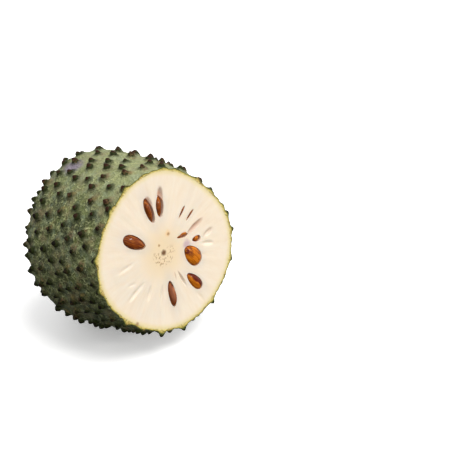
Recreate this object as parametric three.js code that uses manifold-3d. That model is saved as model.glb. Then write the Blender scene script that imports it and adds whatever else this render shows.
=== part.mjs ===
// Half of a cut soursop lying on its side: a leathery green rind grown all over with short soft spines,
// the white flesh with its pockets and slits, the seeds in the cut face and the stub of the stalk.
//
// Units are millimetres. The part stands on z = 0 and looks along -Y, with the origin under the middle of
// its box. Everything is modelled in the fruit's own frame, whose origin is the middle of the cut face,
// with +Y running back through the fruit to the stalk, +X to the right and +Z up the face. The last step
// leans that frame back by LEAN and stands it on the table.
import * as THREE from "three";
import { ConvexGeometry } from "three/addons/geometries/ConvexGeometry.js";
import { ConvexHull } from "three/addons/math/ConvexHull.js";
import { mergeVertices } from "three/addons/utils/BufferGeometryUtils.js";
import Module from "manifold-3d";

// The fruit's body.
const CUT_RADIUS = 58; // mean radius of the cut face
const WIDEST_RADIUS = 63;
const WIDEST_AT = 65.5; // distance behind the cut
const LENGTH = 111; // from the cut to the stalk end
const TAIL_SHARPNESS = 2.05; // how late the stalk end starts to round off
const TAIL_FULLNESS = 1.84; // how square its shoulder is
const TALLER = 0.02; // share by which the section is taller than round
const OVAL = { cos: 0.04, sin: -0.035 }; // oval of the cut face, with its slant, gone at the stalk end
const THREE_SIDED = -0.013; // and its other unevenness
const FOUR_SIDED = 0.017;
const LEAN = THREE.MathUtils.degToRad(10.3);
const FACE_CENTRE = new THREE.Vector3(-0.16, -51.735, 73.3); // in the part's frame
const RIND = 2.2; // thickness of the rind
const GAP = 0.3; // between touching pieces
const BEYOND_CUT = 12; // how far the inner wall is drawn past the cut before it is cut off

// The spines, one to each carpel, on a spiral that turns by the golden angle.
const SPINE_SPACING = 12.8;
const GOLDEN_ANGLE = Math.PI * (3 - Math.sqrt(5));
const SITE_WANDER = 0.4; // of the spacing
const SPINE_LENGTH = 3.0; // above the wall
const SPINE_FOOT = 1.9; // radius where the spine leaves its hump
const BARE_FOOT = 0.6; // share of that radius where no spine grows
const SIZE_SPREAD = 0.4; // between the smallest and the largest spine, as a share
const HUMP_HEIGHT = 0.9;
const VALLEY_DEPTH = 0.7; // where three humps meet
const SPINE_HOOK = 0.9; // how far a tip leans towards the stalk
const SPINE_SWAY = 1; // between the furthest left and right a tip leans
const BARE_ROUND_STALK = 9; // radius with no spines

// The stalk's stub.
const STALK_RADIUS = 3.6;
const STALK_ROOT = 6; // sunk into the fruit
const STALK_OUT = 4; // standing out of it
const STALK_TAPER = 0.85; // its inner end's radius, as a share

// The seeds that show in the cut face. x and z are places on the face, turn is the direction of the broad
// end, roll is 0 where a seed lies flat and 90 where it is seen edge-on, dip sinks the broad end, and depth
// is from the face to the middle of the seed. slot is the length and width of the opening over a seed that
// lies under the flesh, and slotX its place where it is not over the seed's middle.
const SEED = { length: 19, width: 9.6, thickness: 5.8, roll: 0, dip: 0 };
const SEEDS = [
  { x: -26.2, z: 15.2, turn: 146, depth: 1.5, length: 20.4, width: 8.8 },
  { x: -10.0, z: 32.6, turn: 104, depth: 3.0, roll: 68 },
  { x: -0.7, z: 32.8, turn: 84, depth: 3.2, roll: 62, dip: 6, length: 15, width: 8, thickness: 6 },
  { x: 17.3, z: 23.0, turn: 47, depth: 5.2, roll: 90, thickness: 4, slot: [10, 1.8] },
  { x: 24.0, z: 19.0, turn: 37, depth: 5.2, roll: 90, thickness: 4, slot: [9.6, 1.8] },
  { x: 14.8, z: 6.6, turn: -2, depth: 4.4, roll: 70, length: 14, thickness: 4.2, slot: [9.8, 2.8] },
  { x: 31.0, z: 0.6, turn: -4, depth: 6.4, roll: 12, dip: 50, length: 17, slot: [8, 4.4], slotX: 26.9 },
  { x: 21.5, z: -9.8, turn: -51, depth: 1.2, length: 18.6, width: 12, thickness: 6.4 },
  { x: 19.9, z: -28.6, turn: -51, depth: 1.5, length: 18, width: 7.8 },
  { x: -1.5, z: -30.5, turn: -86, depth: 2.8, roll: 72, length: 19.6, thickness: 5.6 },
];
const SEED_TAPER = 0.2; // how much narrower the end that points to the core is
const SEED_ROOM = 0.4; // between a seed and the wall of its pocket
const OPENING_DEPTH = 2; // of a slot's rounded end

// Empty slits between the carpels: middle, direction, length, width and depth.
const SLITS = [
  { x: 1.0, z: 39.6, turn: 82, length: 13, width: 5, depth: 2.6 },
  { x: -9.4, z: 37.4, turn: 104, length: 11, width: 4.8, depth: 1.8 },
  { x: 27.0, z: 9.9, turn: 23, length: 16, width: 4.2, depth: 1.4 },
  { x: 38.3, z: 1.8, turn: 20, length: 10.5, width: 4.4, depth: 1.0 },
  { x: 36.6, z: -5.8, turn: -16, length: 13, width: 4, depth: 0.8 },
  { x: -31.2, z: -18.4, turn: 209, length: 19, width: 4, depth: 0.7 },
  { x: -20.6, z: -23.2, turn: 242, length: 13, width: 3.6, depth: 0.7 },
  { x: -10.7, z: -28.2, turn: 255, length: 16, width: 3.2, depth: 0.7 },
  { x: 9.2, z: -23.2, turn: -66, length: 16, width: 2.4, depth: 1.8 },
];

// Facets.
const WALL_SIDES = 30;
const WALL_RINGS = 10;
const EGG_SIDES = 12;
const EGG_RINGS = 8;
const STALK_SIDES = 14;
const BANDS = 2000;
const OUT_OF_FACE = 15; // clear of every seed
const FAR = 300; // larger than the fruit
const SAME_POINT = 1e-4; // corners closer than this are one

const wasm = await Module();
wasm.setup();

function solidOf(geometry) {
  geometry.deleteAttribute("normal");
  geometry.deleteAttribute("uv");
  const merged = mergeVertices(geometry, SAME_POINT);
  return new wasm.Manifold(
    new wasm.Mesh({
      numProp: 3,
      vertProperties: new Float32Array(merged.attributes.position.array),
      triVerts: new Uint32Array(merged.index.array),
    }),
  );
}

function geometryOf(solid) {
  const { vertProperties, triVerts } = solid.getMesh();
  const geometry = new THREE.BufferGeometry();
  geometry.setAttribute("position", new THREE.BufferAttribute(vertProperties, 3));
  geometry.setIndex(new THREE.BufferAttribute(triVerts, 1));
  const faceted = geometry.toNonIndexed();
  faceted.computeVertexNormals();
  return faceted;
}

// An even draw from 0 to 1 that is always the same for one site and purpose.
const DRAW_FOR = { along: 1, round: 2, size: 3, side: 4 };
const SITE_STEP = 12.9898;
const PURPOSE_STEP = 78.233;
const SCATTER = 43758.5453;

function draw(site, purpose) {
  const wave = Math.sin(site * SITE_STEP + purpose * PURPOSE_STEP) * SCATTER;
  return wave - Math.floor(wave);
}

// The whole fruit's round radius at a distance behind the cut, negative in the half that is gone.
const TAPER = 1 - (CUT_RADIUS / WIDEST_RADIUS) ** 2;
const FRONT_END = WIDEST_AT * (1 - 1 / Math.sqrt(TAPER));

function roundRadius(y, inset = 0) {
  if (y < WIDEST_AT) {
    const forward = (WIDEST_AT - y) / WIDEST_AT;
    return WIDEST_RADIUS * Math.sqrt(Math.max(0, 1 - TAPER * forward ** 2)) - inset;
  }
  const along = Math.min(1, (y - WIDEST_AT) / (LENGTH - inset - WIDEST_AT));
  return (WIDEST_RADIUS - inset) * (1 - along ** TAIL_SHARPNESS) ** (1 / TAIL_FULLNESS);
}

// The section is a little oval and lopsided at the cut, and rounder towards the stalk.
function sectionShape(angle, y) {
  const fade = 1 - Math.max(0, y) / LENGTH;
  const oval = OVAL.cos * Math.cos(2 * angle) + OVAL.sin * Math.sin(2 * angle);
  const corners = THREE_SIDED * Math.sin(3 * angle) + FOUR_SIDED * Math.cos(4 * angle);
  return 1 + fade * (oval + corners) - TALLER * Math.cos(2 * angle);
}

function wallPoint(y, angle, inset = 0) {
  const radius = roundRadius(y, inset) * sectionShape(angle, y);
  return new THREE.Vector3(radius * Math.cos(angle), y, radius * Math.sin(angle));
}

// The whole fruit's skin in narrow bands from the stalk end forward. Each holds the area up to it, and its
// latitude on a ball that the skin's small shapes are carried to without being stretched.
function skinBands() {
  const step = (LENGTH - FRONT_END) / BANDS;
  const bands = [{ y: LENGTH, area: 0, latitude: 0 }];
  for (let i = 1; i < BANDS; i++) {
    const y = LENGTH - i * step;
    const radius = roundRadius(y + step / 2);
    const slant = Math.hypot(step, roundRadius(y) - roundRadius(y + step));
    const { area, latitude } = bands[i - 1];
    bands.push({ y, area: area + 2 * Math.PI * radius * slant, latitude: latitude - slant / radius });
  }
  const waist = bands.find(({ y }) => y < WIDEST_AT).latitude;
  for (const band of bands) band.latitude -= waist;
  return bands;
}

// A spine's place on the wall, with its twin on the ball: the ball's hull tells which sites are neighbours.
function spineSites() {
  const bands = skinBands();
  const total = bands.at(-1).area;
  const count = Math.round(total / (SPINE_SPACING ** 2 * Math.sqrt(0.75)));
  const bandAt = (area) => bands.find((band) => band.area >= area) ?? bands.at(-1);
  return Array.from({ length: count }, (_, k) => {
    const area = (total * (k + 0.5)) / count;
    const radius = roundRadius(bandAt(area).y);
    const wander = (purpose) => SITE_WANDER * SPINE_SPACING * (draw(k, purpose) - 0.5);
    const { y, latitude } = bandAt(area + 2 * Math.PI * radius * wander(DRAW_FOR.along));
    const angle = k * GOLDEN_ANGLE + wander(DRAW_FOR.round) / Math.max(radius, SPINE_SPACING);
    const foot = wallPoint(y, angle);
    const bare = y > WIDEST_AT && Math.hypot(foot.x, foot.z) < BARE_ROUND_STALK;
    const onBall = new THREE.Vector3(Math.cos(angle), Math.sinh(latitude), Math.sin(angle));
    return {
      foot,
      onBall: onBall.divideScalar(Math.cosh(latitude)),
      normal: new THREE.Vector3(),
      size: bare ? 0 : 1 + SIZE_SPREAD * (draw(k, DRAW_FOR.size) - 0.5),
      side: SPINE_SWAY * (draw(k, DRAW_FOR.side) - 0.5),
    };
  });
}

function siteTriangles(sites) {
  const index = new Map(sites.map((site, i) => [site.onBall, i]));
  const hull = new ConvexHull().setFromPoints(sites.map((site) => site.onBall));
  return hull.faces.map(({ edge }) => [edge.prev, edge, edge.next].map((e) => index.get(e.head().point)));
}

// The skin with a spine at each site. Ridges run from spine to spine, and dip where three humps meet.
function spinySkin() {
  const sites = spineSites();
  const triangles = siteTriangles(sites);
  for (const corners of triangles) {
    const [a, b, c] = corners.map((i) => sites[i].foot);
    const facing = b.clone().sub(a).cross(c.clone().sub(a));
    for (const i of corners) sites[i].normal.add(facing);
  }
  const towardsStalk = new THREE.Vector3(0, 1, 0);
  for (const site of sites) {
    site.normal.normalize();
    const across = site.normal.clone().cross(towardsStalk);
    const lean = towardsStalk.clone().multiplyScalar(SPINE_HOOK).addScaledVector(across, site.side);
    site.tip = site.foot.clone().addScaledVector(site.normal, SPINE_LENGTH * site.size);
    site.tip.addScaledVector(lean, site.size);
  }
  const shoulder = (from, to) => {
    const radius = SPINE_FOOT * THREE.MathUtils.lerp(BARE_FOOT, 1, from.size);
    const reach = radius / from.foot.distanceTo(to.foot);
    return from.foot.clone().lerp(to.foot, reach).addScaledVector(from.normal, HUMP_HEIGHT * from.size);
  };
  const points = [];
  for (const corners of triangles) {
    const ring = corners.map((i) => sites[i]);
    const valley = new THREE.Vector3();
    for (const site of ring) valley.add(site.foot).addScaledVector(site.normal, -VALLEY_DEPTH);
    valley.divideScalar(3);
    ring.forEach((here, i) => {
      const next = ring[(i + 1) % 3];
      const last = ring[(i + 2) % 3];
      points.push(here.tip, shoulder(here, next), shoulder(here, last));
      points.push(valley, shoulder(here, last), shoulder(here, next));
      points.push(valley, shoulder(here, next), shoulder(next, here));
    });
  }
  return solidOf(new THREE.BufferGeometry().setFromPoints(points));
}

// A smooth closed body inside the skin, reaching past the cut.
function smoothBody(inset) {
  const rings = Array.from({ length: WALL_RINGS }, (_, i) => {
    const turn = (i / WALL_RINGS) * (Math.PI / 2);
    return (LENGTH - inset + BEYOND_CUT) * Math.sin(turn) - BEYOND_CUT;
  });
  const points = [];
  const at = (ring, side) => wallPoint(rings[ring], (side * 2 * Math.PI) / WALL_SIDES, inset);
  const front = new THREE.Vector3(0, rings[0], 0);
  const back = new THREE.Vector3(0, LENGTH - inset, 0);
  for (let side = 0; side < WALL_SIDES; side++) {
    const next = side + 1;
    points.push(front, at(0, side), at(0, next % WALL_SIDES));
    for (let ring = 1; ring < WALL_RINGS; ring++) {
      const [a, b] = [at(ring - 1, side), at(ring - 1, next % WALL_SIDES)];
      const [c, d] = [at(ring, side), at(ring, next % WALL_SIDES)];
      points.push(a, c, b, b, c, d);
    }
    points.push(at(WALL_RINGS - 1, side), back, at(WALL_RINGS - 1, next % WALL_SIDES));
  }
  return solidOf(new THREE.BufferGeometry().setFromPoints(points));
}

// What the knife took: everything in front of the cut face.
const removedHalf = solidOf(new THREE.BoxGeometry(FAR, FAR, FAR).translate(0, -FAR / 2, 0));

// A seed, or the bed that holds it where room is more than 0: broad end towards +Y, flat sides towards Z.
function egg({ length, width, thickness }, room = 0) {
  const shape = new THREE.SphereGeometry(1, EGG_SIDES, EGG_RINGS);
  const position = shape.attributes.position;
  for (let i = 0; i < position.count; i++) {
    position.setX(i, position.getX(i) * (1 + SEED_TAPER * position.getY(i)));
  }
  return shape.scale(width / 2 + room, length / 2 + room, thickness / 2 + room);
}

// The cut face's own frame: X to the right, Y up the face and Z out of it.
const cutFace = new THREE.Group();
cutFace.name = "cut_face";
cutFace.rotation.x = Math.PI / 2;
cutFace.updateMatrix();

function placeOnFace(shape, { x, z, turn, depth = 0, roll = 0, dip = 0 }) {
  const [turned, rolled, dipped] = [turn - 90, roll, -dip].map(THREE.MathUtils.degToRad);
  shape.position.set(x, z, -depth);
  shape.rotation.set(dipped, rolled, turned, "ZXY");
  shape.updateMatrix();
  return shape;
}

function inFruit(shape, place) {
  const onFace = placeOnFace(new THREE.Object3D(), place);
  return shape.applyMatrix4(onFace.matrix).applyMatrix4(cutFace.matrix);
}

// A shape in the flesh swept straight out through the face.
function sweptOut(shape) {
  const { position } = shape.attributes;
  const points = [];
  for (let i = 0; i < position.count; i++) {
    points.push(new THREE.Vector3().fromBufferAttribute(position, i));
  }
  const outside = points.map(({ x, y, z }) => new THREE.Vector3(x, y - OUT_OF_FACE, z));
  return solidOf(new ConvexGeometry([...points, ...outside]));
}

// The room round a seed. Under the flesh it is closed, but for a slot that shows the seed.
function seedPocket(seed) {
  const bed = inFruit(egg(seed, SEED_ROOM), seed);
  if (!seed.slot) return sweptOut(bed);
  const [length, width] = seed.slot;
  const place = { x: seed.slotX ?? seed.x, z: seed.z, turn: seed.turn, depth: seed.depth };
  const opening = egg({ length, width, thickness: OPENING_DEPTH });
  return solidOf(bed).add(sweptOut(inFruit(opening, place)));
}

function slitHollow(slit) {
  const { length, width, depth } = slit;
  return solidOf(inFruit(egg({ length, width, thickness: 2 * depth }), { ...slit, depth: 0 }));
}

// The stalk's stub points back out of the fruit. Its hole is the same with some room.
function stalkShape(room = 0) {
  const length = STALK_ROOT + STALK_OUT + room;
  const [outer, inner] = [STALK_RADIUS + room, STALK_TAPER * STALK_RADIUS + room];
  const shape = new THREE.CylinderGeometry(outer, inner, length, STALK_SIDES);
  return shape.translate(0, LENGTH - STALK_ROOT - room + length / 2, 0);
}

const looks = {
  rind: { color: 0x3c4a2a, roughness: 0.6 },
  flesh: { color: 0xf3e8d2, roughness: 0.45 },
  seed: { color: 0x5a2410, roughness: 0.25 },
  stalk: { color: 0x4d3a24, roughness: 0.85 },
};

function piece(name, geometry, look) {
  const mesh = new THREE.Mesh(geometry, new THREE.MeshStandardMaterial({ metalness: 0, ...look }));
  mesh.name = name;
  return mesh;
}

const fruit = new THREE.Group();
fruit.name = "fruit";
fruit.position.copy(FACE_CENTRE);
fruit.rotation.x = -LEAN;
fruit.updateMatrix();

// The table, seen from the fruit's frame: the rind is pressed flat where it rests.
const underTable = new THREE.BoxGeometry(FAR, FAR, FAR).translate(0, 0, -FAR / 2);
const table = solidOf(underTable.applyMatrix4(fruit.matrix.clone().invert()));
const stalkHole = solidOf(stalkShape(GAP));

function makeRind() {
  const skin = spinySkin().subtract(removedHalf).subtract(table);
  return skin.subtract(smoothBody(RIND)).subtract(stalkHole);
}

function makeFlesh(seeds) {
  let flesh = smoothBody(RIND + GAP).subtract(removedHalf).subtract(stalkHole);
  for (const seed of seeds) flesh = flesh.subtract(seedPocket(seed));
  for (const slit of SLITS) flesh = flesh.subtract(slitHollow(slit));
  return flesh;
}

const seeds = SEEDS.map((seed) => ({ ...SEED, ...seed }));
fruit.add(
  piece("rind", geometryOf(makeRind()), looks.rind),
  piece("flesh", geometryOf(makeFlesh(seeds)), looks.flesh),
  piece("stalk_stub", stalkShape(), looks.stalk),
  cutFace,
);
seeds.forEach((seed, i) => {
  const mesh = piece(`seed_${i + 1}`, egg(seed), looks.seed);
  cutFace.add(placeOnFace(mesh, seed));
});

const soursopHalf = new THREE.Group();
soursopHalf.name = "soursop_half";
soursopHalf.add(fruit);

export default soursopHalf;
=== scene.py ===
"""A cut soursop half: the skin with its spines, the white flesh, the seeds and the stalk's stub.

Shapes are worked out in millimetres in the fruit's own frame. Its origin is the middle of the cut face, +Y
runs back through the fruit to the stalk, +X is to the right and +Z up the face. PART_FROM_FRUIT leans that
frame back, stands it on the table and turns it into the metres of the finished meshes.
"""

import math
from contextlib import contextmanager

import bpy
import numpy as np
from bpy.props import FloatProperty, FloatVectorProperty, IntProperty, PointerProperty
from mathutils import Matrix, Vector, noise


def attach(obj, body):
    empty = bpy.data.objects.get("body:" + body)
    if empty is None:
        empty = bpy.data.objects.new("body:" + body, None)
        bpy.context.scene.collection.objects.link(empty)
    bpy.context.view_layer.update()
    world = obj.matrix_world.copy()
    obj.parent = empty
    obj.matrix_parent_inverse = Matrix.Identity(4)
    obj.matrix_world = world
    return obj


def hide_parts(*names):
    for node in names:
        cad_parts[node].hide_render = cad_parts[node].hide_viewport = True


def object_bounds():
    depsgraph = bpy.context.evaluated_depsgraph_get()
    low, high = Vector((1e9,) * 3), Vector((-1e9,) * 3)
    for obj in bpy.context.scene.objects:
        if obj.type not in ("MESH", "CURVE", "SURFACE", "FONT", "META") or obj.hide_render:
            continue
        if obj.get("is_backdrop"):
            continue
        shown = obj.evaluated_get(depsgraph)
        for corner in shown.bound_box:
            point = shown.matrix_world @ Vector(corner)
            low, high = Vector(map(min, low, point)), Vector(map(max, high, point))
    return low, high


bl_info = {
    "name": "Soursop Half",
    "version": (1, 0, 0),
    "blender": (4, 5, 0),
    "location": "View3D > Sidebar > Soursop",
    "description": "Builds a cut soursop half with its spines, flesh and seeds",
    "category": "Add Mesh",
}

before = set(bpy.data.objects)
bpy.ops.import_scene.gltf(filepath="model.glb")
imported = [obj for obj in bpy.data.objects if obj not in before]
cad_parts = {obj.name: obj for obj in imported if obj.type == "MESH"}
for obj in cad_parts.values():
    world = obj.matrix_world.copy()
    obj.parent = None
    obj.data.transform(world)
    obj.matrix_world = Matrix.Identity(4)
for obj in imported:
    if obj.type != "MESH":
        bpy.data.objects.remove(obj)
CAD_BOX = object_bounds()

MM = 0.001

# The fruit's body, in millimetres.
CUT_RADIUS = 58.0
WIDEST_RADIUS = 63.0
WIDEST_AT = 65.5
LENGTH = 111.0
TAIL_SHARPNESS = 2.05
TAIL_FULLNESS = 1.84
RIND = 2.2
LEAN = math.radians(10.3)
FACE_CENTRE = Vector((-0.16, -51.735, 73.3))
PART_FROM_FRUIT = Matrix.Scale(MM, 4) @ Matrix.Translation(FACE_CENTRE) @ Matrix.Rotation(-LEAN, 4, "X")
FRUIT_FROM_FACE = Matrix.Rotation(math.pi / 2, 4, "X")
TAPER = 1 - (CUT_RADIUS / WIDEST_RADIUS) ** 2
FRONT_END = WIDEST_AT * (1 - 1 / math.sqrt(TAPER))

# The spines' pattern.
SPINE_SPACING = 12.8
SITE_WANDER = 0.4
GOLDEN_ANGLE = math.pi * (3 - math.sqrt(5))
BARE_ROUND_STALK = 9.0
BANDS = 2000

# What a draw for a spine is for, and the numbers that scatter the draws.
ALONG, AROUND, SIZE, SIDE, TONE, TWIST = range(1, 7)
SITE_STEP = 12.9898
PURPOSE_STEP = 78.233
SCATTER = 43758.5453
NOISE_SEED = 1

# The skin between the spines.
FLARE_RADIUS = 4.4
CREASE = 0.16
CREASE_AT = 3.6
CREASE_WIDTH = 1.7
WRINKLE = 0.28
WRINKLE_SIZE = 3.4
RIPPLE = 0.2
RIPPLE_SIZE = 2.4
# The blush on the upper side of some spines, toward the key light: partly scab colour, partly painted light.
BLUSH_AND_LIGHT_OFFSET = 3.0
BLUSH_AND_LIGHT_RADIUS = 2.4
BLUSH_AND_LIGHT_WAY = (0.0, -0.35, 0.94)
PROFILE_STEPS = 4000
POINTS_AT_ONCE = 8000

# The rind's turned-in side: how far in from the skin the rings of its cut edge lie, how many rings line the
# hidden side, and how far the skin's relief keeps behind the cut.
RIM_DEPTHS = (0.25, 0.7, 1.3, RIND)
LINING_RINGS = 12
BEHIND_CUT = 0.15

# How far up a spine its rings stand, and how far behind the cut the spines by it are sliced.
THORN_LEVELS = (0.3, 0.5, 0.68, 0.83, 0.94)
SPINE_CUT = 0.02

# The stub of the stalk.
STALK_RADIUS = 3.6
STALK_ROOT = 6.0
STALK_OUT = 4.0
STALK_SIDES = 48
STALK_BANDS = 10

# The flesh: its core is a little off the middle of the cut face, which lies a little behind the rind's cut
# edge, and its fibres are uneven from FIBRES_FROM to FIBRES_TO.
CORE_X = -3.4
CORE_Z = 0.5
FACE_SINK = 0.03
FLESH_GAP = 0.1
FIBRES_FROM = 16.0
FIBRES_TO = 52.0

# How far the wet flesh and its painted shade reach about a seed, and how deep in a slit or a bed the walls
# get a painted glow that lifts their shade.
HALO_REACH = 2.8
PAINTED_GLOW_IN_SLIT = 1.5
PAINTED_GLOW_IN_BED = 0.3

# The seeds in the cut face. x and z are places on the face and turn is the direction of the broad end. roll
# is 0 where a seed lies flat and 90 where it is seen edge-on, dip sinks the broad end, and depth is from
# the face to the seed's middle. tone runs from a dark seed to an amber one, dusty is how much pale bloom it
# has, and dark_side how dark its upper side is. slot is the opening over a buried seed.
PLAIN_SEED = {
    "length": 19.0,
    "width": 9.6,
    "thickness": 5.8,
    "roll": 0,
    "dip": 0,
    "tone": 0.2,
    "dusty": 0.0,
    "dark_side": 0.0,
}
SEEDS = [
    {"x": -26.2, "z": 15.2, "turn": 146, "depth": 1.5, "length": 20.4, "width": 8.8, "tone": 0.12},
    {"x": -10.0, "z": 32.6, "turn": 104, "depth": 3.0, "roll": 68, "tone": 0.3},
    {"x": -0.7, "z": 32.8, "turn": 84, "depth": 3.2, "roll": 62, "dip": 6, "length": 15.0, "width": 8.0,
     "thickness": 6.0, "tone": 0.35},
    {"x": 17.3, "z": 23.0, "turn": 47, "depth": 5.2, "roll": 90, "thickness": 4.0, "slot": (10.0, 1.8)},
    {"x": 24.0, "z": 19.0, "turn": 37, "depth": 5.2, "roll": 90, "thickness": 4.0, "slot": (9.6, 1.8)},
    {"x": 14.8, "z": 6.6, "turn": -2, "depth": 4.4, "roll": 70, "length": 14.0, "thickness": 4.2,
     "slot": (9.8, 2.8), "tone": 0.85, "dusty": 0.75},
    {"x": 31.0, "z": 0.6, "turn": -4, "depth": 6.4, "roll": 12, "dip": 50, "length": 17.0,
     "slot": (8.0, 4.4), "slot_x": 26.9, "tone": 0.85},
    {"x": 21.5, "z": -9.8, "turn": -51, "depth": 1.2, "length": 18.6, "width": 12.0, "thickness": 6.4,
     "tone": 1.0},
    {"x": 19.9, "z": -28.6, "turn": -51, "depth": 1.5, "length": 18.0, "width": 7.8, "tone": 0.72,
     "dark_side": 1.0},
    {"x": -1.5, "z": -30.5, "turn": -86, "depth": 2.8, "roll": 72, "length": 19.6, "thickness": 5.6,
     "tone": 0.22, "dusty": 0.48},
]
SEEDS = [{**PLAIN_SEED, **seed} for seed in SEEDS]
SEED_TAPER = 0.2
SEED_ROOM = 0.06
SLOT_THICKNESS = 2.0
BED_REACH = 15.0

# Empty slits between the carpels: middle, direction, length, width, depth, and how brown they are inside.
SLITS = [
    {"x": 1.0, "z": 39.6, "turn": 82, "length": 13.0, "width": 5.0, "depth": 2.6, "stain": 0.5},
    {"x": -9.4, "z": 37.4, "turn": 104, "length": 11.0, "width": 4.8, "depth": 1.8, "stain": 0.3},
    {"x": 27.0, "z": 9.9, "turn": 23, "length": 16.0, "width": 4.2, "depth": 1.4, "stain": 0.7},
    {"x": 38.3, "z": 1.8, "turn": 20, "length": 10.5, "width": 4.4, "depth": 1.0, "stain": 0.22},
    {"x": 36.6, "z": -5.8, "turn": -16, "length": 13.0, "width": 4.0, "depth": 0.8, "stain": 0.0},
    {"x": -31.2, "z": -18.4, "turn": 209, "length": 19.0, "width": 4.0, "depth": 0.7, "stain": 0.0},
    {"x": -20.6, "z": -23.2, "turn": 242, "length": 13.0, "width": 3.6, "depth": 0.7, "stain": 0.0},
    {"x": -10.7, "z": -28.2, "turn": 255, "length": 16.0, "width": 3.2, "depth": 0.7, "stain": 0.0},
    {"x": 9.2, "z": -23.2, "turn": -66, "length": 16.0, "width": 2.4, "depth": 1.5, "stain": 0.1},
    {"x": -35.8, "z": 0.6, "turn": 193, "length": 19.0, "width": 3.4, "depth": 0.3, "stain": 0.0},
    {"x": -33.4, "z": -12.2, "turn": 183, "length": 9.0, "width": 3.0, "depth": 0.3, "stain": 0.0},
    {"x": 23.3, "z": -41.9, "turn": -57, "length": 11.0, "width": 2.8, "depth": 0.3, "stain": 0.0},
    {"x": 3.6, "z": -18.9, "turn": 95, "length": 6.0, "width": 1.2, "depth": 0.2, "stain": 0.4},
]

# Marks on the face and on its rim: x, z, radius, strength and screen colour.
MARKS = [
    (2.4, 12.4, 3.4, 0.5, (228, 184, 126)),
    (2.9, 11.9, 1.7, 0.8, (150, 108, 58)),
    (-6.4, 6.8, 1.4, 0.8, (156, 118, 70)),
    (17.6, 0.0, 4.6, 0.8, (184, 158, 164)),
    (23.6, -1.4, 3.0, 0.5, (222, 200, 202)),
    (-34.7, -39.9, 2.0, 0.7, (138, 92, 56)),
    (-51.3, 33.0, 2.8, 0.8, (134, 126, 30)),
    (36.4, 42.9, 2.4, 0.65, (196, 158, 96)),
    (44.7, 35.1, 2.8, 0.65, (190, 150, 88)),
]

# Where the skin is lilac, where it is scuffed, and where the coat of the amber seed is torn.
LILAC_SKIN = (-22.0, 19.5, 121.0)
SCUFFED_SKIN = (-53.5, 21.5, 93.5)
TORN_COAT_X = 17.2
TORN_COAT_Z = -4.6

# The camera's place, from the middle of the cut face.
FACE_IN_METRES = FACE_CENTRE * MM
CAMERA_FROM_FACE = Vector((-423.0, -489.1, 333.9))


def mm(metres):
    """A setting's length in millimetres."""
    return metres / MM


def paint(red, green, blue):
    """A screen colour as the linear colour that shaders use."""
    channels = [value / 255 for value in (red, green, blue)]
    return [c / 12.92 if c < 0.04045 else ((c + 0.055) / 1.055) ** 2.4 for c in channels]


# --- The fruit's form -------------------------------------------------------------------------------------


def draw(site, purpose):
    """An even draw from 0 to 1 that is always the same for one site and purpose."""
    wave = math.sin(site * SITE_STEP + purpose * PURPOSE_STEP) * SCATTER
    return wave - math.floor(wave)


def round_radius(y, inset=0.0):
    """The round wall's radius at a distance behind the cut."""
    y = np.asarray(y, float)
    forward = (WIDEST_AT - y) / WIDEST_AT
    front = WIDEST_RADIUS * np.sqrt(np.clip(1 - TAPER * forward**2, 0, None)) - inset
    along = np.clip((y - WIDEST_AT) / (LENGTH - inset - WIDEST_AT), 0, 1)
    back = (WIDEST_RADIUS - inset) * (1 - along**TAIL_SHARPNESS) ** (1 / TAIL_FULLNESS)
    return np.where(y < WIDEST_AT, front, back)


def section_shape(angle, y):
    """The section is a little oval and lopsided at the cut, and rounder towards the stalk."""
    fade = 1 - np.clip(y, 0, None) / LENGTH
    oval = 0.04 * np.cos(2 * angle) - 0.035 * np.sin(2 * angle)
    corners = 0.017 * np.cos(4 * angle) - 0.013 * np.sin(3 * angle)
    return 1 + fade * (oval + corners) - 0.02 * np.cos(2 * angle)


def wall_points(y, angle, inset=0.0):
    """The points of the wall at a distance behind the cut and an angle about the fruit."""
    radius = round_radius(y, inset) * section_shape(angle, y)
    return np.stack([radius * np.cos(angle), np.broadcast_to(y, radius.shape), radius * np.sin(angle)], -1)


def unit(vectors):
    """The same directions with a length of 1."""
    return vectors / np.linalg.norm(vectors, axis=-1, keepdims=True)


def wall_normals(y, angle):
    """Which way the wall faces, from its slopes along and round the fruit."""
    y = np.minimum(y, LENGTH - 0.1)
    along = wall_points(y + 0.05, angle) - wall_points(y - 0.05, angle)
    around = wall_points(y, angle + 0.001) - wall_points(y, angle - 0.001)
    return unit(np.cross(along, around))


def spine_sites():
    """Where and how the spines stand, on a spiral that turns by the golden angle."""
    step = (LENGTH - FRONT_END) / BANDS
    y = LENGTH - step * np.arange(BANDS)
    slant = np.hypot(step, round_radius(y) - round_radius(y + step))
    slant[0] = 0
    area = np.cumsum(2 * math.pi * round_radius(y + step / 2) * slant)
    total = area[-1]
    count = round(total / (SPINE_SPACING**2 * math.sqrt(0.75)))

    def place(wanted):
        return y[min(np.searchsorted(area, wanted), BANDS - 1)]

    sites = []
    for k in range(count):
        share = total * (k + 0.5) / count
        radius = float(round_radius(place(share)))
        along, around = (SITE_WANDER * SPINE_SPACING * (draw(k, way) - 0.5) for way in (ALONG, AROUND))
        behind = place(share + 2 * math.pi * radius * along)
        angle = k * GOLDEN_ANGLE + around / max(radius, SPINE_SPACING)
        foot = wall_points(behind, np.array(angle))
        by_stalk = behind > WIDEST_AT and math.hypot(foot[0], foot[2]) < BARE_ROUND_STALK
        if behind < -SPINE_SPACING or by_stalk:
            continue
        sites.append(
            {
                "foot": foot,
                "normal": wall_normals(behind, np.array(angle)),
                "size": 0.8 + 0.4 * draw(k, SIZE),
                "side": draw(k, SIDE) - 0.5,
                "tone": draw(k, TONE),
                "twist": 2 * math.pi * draw(k, TWIST),
            }
        )
    return sites


# --- Mesh helpers -----------------------------------------------------------------------------------------


def deselect():
    """Leaves edit mode, with nothing selected."""
    if bpy.context.object and bpy.context.object.mode != "OBJECT":
        bpy.ops.object.mode_set(mode="OBJECT")
    bpy.ops.object.select_all(action="DESELECT")


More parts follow.
